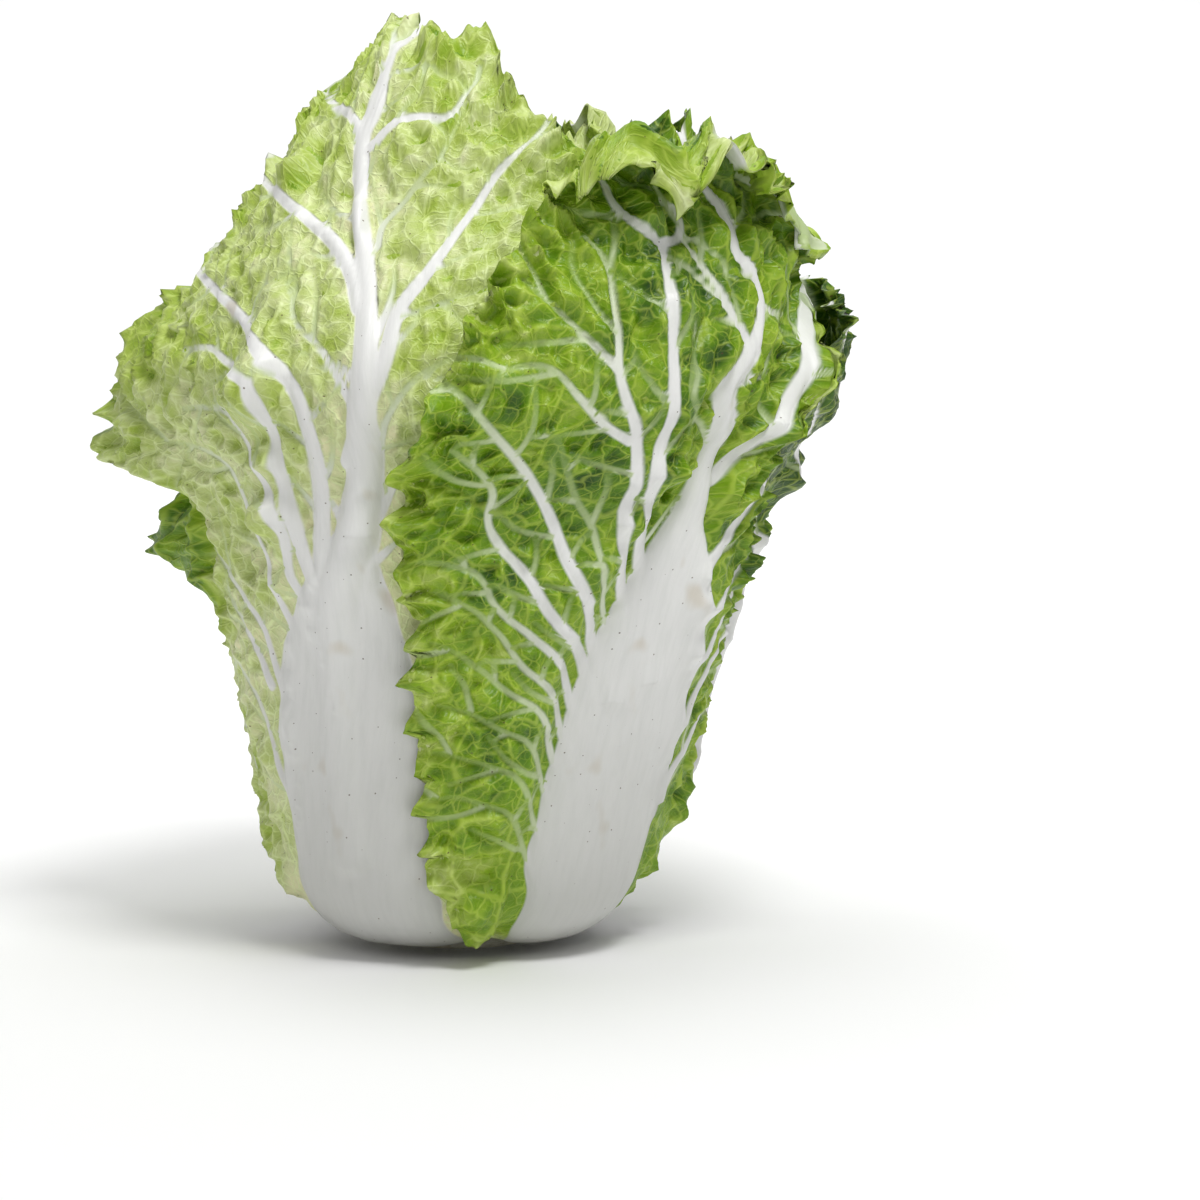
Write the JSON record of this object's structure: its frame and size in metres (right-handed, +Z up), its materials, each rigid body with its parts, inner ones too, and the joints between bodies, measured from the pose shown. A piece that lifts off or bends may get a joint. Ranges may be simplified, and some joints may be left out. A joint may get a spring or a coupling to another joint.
{
  "type": "napa cabbage",
  "caption": "Standing head of napa cabbage: a cut stem, a tight heart and loose wrapped leaves with broad white ribs and frilled green margins.",
  "frame": {"origin": "centre of the cut face under the stem, which the head stands on", "axes": "+Z up along the head, -Y towards the viewer of the picture, +X to the viewer's right"},
  "size_m": [0.2686, 0.2411, 0.3244],
  "materials": {
    "white_rib": "moist white plant tissue, satin",
    "pale_heart": "pale yellow leaf, satin",
    "inner_green": "light green leaf, satin",
    "outer_green": "green leaf with white ribs, satin"
  },
  "bodies": {
    "root": {"cut_stem": "white_rib", "heart": "pale_heart", "inner_leaf_back": "inner_green", "inner_leaf_left": "inner_green", "inner_leaf_front": "inner_green", "inner_leaf_right": "inner_green", "outer_leaf_back_left": "outer_green", "outer_leaf_back": "outer_green", "outer_leaf_back_right": "outer_green", "outer_leaf_right": "outer_green", "outer_leaf_front_left": "outer_green", "outer_leaf_front_right": "outer_green"}
  },
  "joints": []
}
